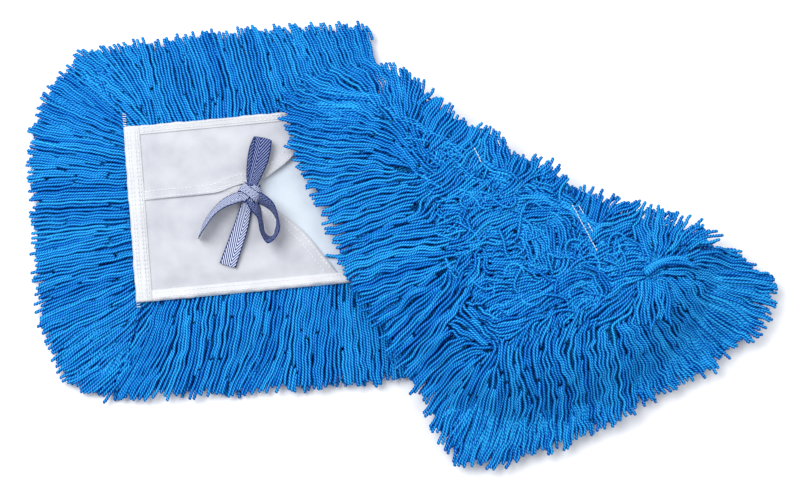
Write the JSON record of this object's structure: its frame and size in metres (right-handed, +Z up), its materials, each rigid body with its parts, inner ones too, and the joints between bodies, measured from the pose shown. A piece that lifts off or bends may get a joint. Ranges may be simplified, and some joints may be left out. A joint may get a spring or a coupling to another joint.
{
  "type": "dust mop head",
  "caption": "Slip-on dust mop head: canvas backing with a tied pocket for a flat frame, cut yarn fringe and face yarn, one half folded over the other.",
  "frame": {"origin": "middle of the folded head's box, on the surface that it lies on", "axes": "+X along the near half's backing, from its fringed end towards the fold; +Y across the backing; +Z up, away from the surface"},
  "size_m": [0.5182, 0.3254, 0.0392],
  "materials": {
    "backing_canvas": "matte",
    "flap_canvas": "matte",
    "binding": "matte",
    "tape": "matte",
    "yarn": "matte",
    "thread": "matte"
  },
  "bodies": {
    "near_half": {"fold_bend": "backing_canvas", "fold_flap": "flap_canvas", "fold_flap_hem": "flap_canvas", "near_backing": "backing_canvas", "near_bottom_band": "binding", "near_bottom_band_stitch": "thread", "near_bottom_fringe": "yarn", "near_end_fringe": "yarn", "near_end_hem": "binding", "near_end_hem_stitch_inner": "thread", "near_end_hem_stitch_outer": "thread", "near_loose_strand": "yarn", "near_lower_flap": "flap_canvas", "near_lower_flap_hem": "flap_canvas", "near_tie_knot": "tape", "near_top_band": "binding", "near_top_band_stitch": "thread", "near_top_fringe": "yarn", "near_upper_flap": "flap_canvas", "near_upper_flap_hem": "flap_canvas", "near_yarn_row_1": "yarn", "near_yarn_row_2": "yarn", "near_yarn_row_3": "yarn", "near_yarn_row_4": "yarn", "near_yarn_row_5": "yarn", "near_yarn_row_6": "yarn"},
    "far_half": {"far_backing": "backing_canvas", "far_bottom_band": "binding", "far_end_hem": "binding", "far_end_hem_stitch": "thread", "far_lower_flap": "flap_canvas", "far_lower_flap_hem": "flap_canvas", "far_row_stitch_1": "thread", "far_row_stitch_2": "thread", "far_tie_first_loop": "tape", "far_tie_first_tail": "tape", "far_tie_knot": "tape", "far_tie_second_loop": "tape", "far_tie_second_tail": "tape", "far_top_band": "binding", "far_upper_flap": "flap_canvas", "far_upper_flap_hem": "flap_canvas", "far_yarn_row_1": "yarn", "far_yarn_row_2": "yarn", "far_yarn_row_3": "yarn", "far_yarn_row_4": "yarn", "far_yarn_row_5": "yarn", "far_yarn_row_6": "yarn"},
    "far_end_fringe_body": {"far_end_fringe": "yarn"},
    "far_side_fringe_body": {"far_side_fringe": "yarn"},
    "far_tip_fringe_body": {"far_tip_fringe": "yarn"},
    "near_left_tail": {"near_tie_left_tail": "tape"},
    "near_lower_tail": {"near_tie_lower_tail": "tape"},
    "near_right_loop": {"near_tie_right_loop": "tape"},
    "near_upper_loop": {"near_tie_upper_loop": "tape"}
  },
  "joints": [
    {"name": "fold", "type": "hinge", "parent": "near_half", "child": "far_half", "pos_m": [-0.00477, 0.09968, 0.0196], "axis": [-0.814, 0.5808, 0], "range_deg": [0, 180], "deforming": ["fold_bend"]},
    {"name": "far_side_fringe_swing", "type": "hinge", "parent": "far_half", "child": "far_side_fringe_body", "pos_m": [-0.00379, 0.09684, 0.0262], "axis": [-0.3253, 0.9456, 0], "range_deg": [0, 10.5]},
    {"name": "far_end_fringe_swing", "type": "hinge", "parent": "far_half", "child": "far_end_fringe_body", "pos_m": [0.06193, -0.09417, 0.0262], "axis": [-0.9456, -0.3253, 0], "range_deg": [0, 16]},
    {"name": "far_tip_fringe_swing", "type": "hinge", "parent": "far_half", "child": "far_tip_fringe_body", "pos_m": [0.18202, -0.05285, 0.0262], "axis": [0.3253, -0.9456, 0], "range_deg": [0, 16]},
    {"name": "near_upper_loop_lift", "type": "hinge", "parent": "near_half", "child": "near_upper_loop", "pos_m": [-0.10476, 0.04168, 0.0179], "axis": [0.9511, -0.309, 0], "range_deg": [0, 40]},
    {"name": "near_lower_tail_lift", "type": "hinge", "parent": "near_half", "child": "near_lower_tail", "pos_m": [-0.10476, 0.04168, 0.0179], "axis": [-0.9336, 0.3584, 0], "range_deg": [0, 30]},
    {"name": "near_left_tail_lift", "type": "hinge", "parent": "near_half", "child": "near_left_tail", "pos_m": [-0.10476, 0.04168, 0.0179], "axis": [-0.6157, 0.788, 0], "range_deg": [0, 40]},
    {"name": "near_right_loop_lift", "type": "hinge", "parent": "near_half", "child": "near_right_loop", "pos_m": [-0.10476, 0.04168, 0.0179], "axis": [-0.9272, -0.3746, 0], "range_deg": [0, 40]}
  ],
  "couplings": [
    {"joint": "far_side_fringe_swing", "follows": "fold", "ratio": 0.058333},
    {"joint": "far_end_fringe_swing", "follows": "fold", "ratio": 0.088889},
    {"joint": "far_tip_fringe_swing", "follows": "fold", "ratio": 0.088889}
  ]
}
